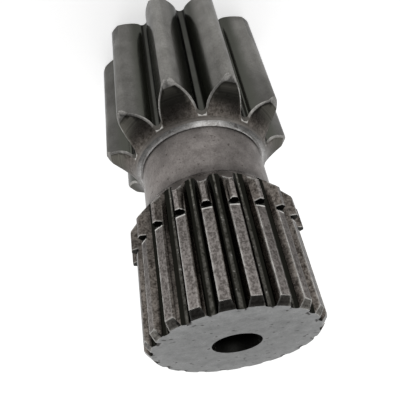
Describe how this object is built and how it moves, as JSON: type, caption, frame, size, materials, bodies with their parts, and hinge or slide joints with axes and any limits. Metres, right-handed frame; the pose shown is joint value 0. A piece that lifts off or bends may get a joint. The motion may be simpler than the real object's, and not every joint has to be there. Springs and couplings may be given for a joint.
{
  "type": "sun gear",
  "caption": "Straight-cut sun gear joined by a plain neck to a splined stub with a drilled centre bore; it drives the planet gears of a planetary reduction.",
  "frame": {"origin": "middle of the flat end of the gear teeth, which the part stands on", "axes": "+Z along the axis of rotation, from the gear end towards the spline end; +X through the middle of one gear tooth"},
  "size_m": [0.0694, 0.0664, 0.1307],
  "materials": {
    "dark_steel": "dark oiled steel, machined, satin"
  },
  "bodies": {
    "root": {"sun_gear": "dark_steel"}
  },
  "joints": []
}
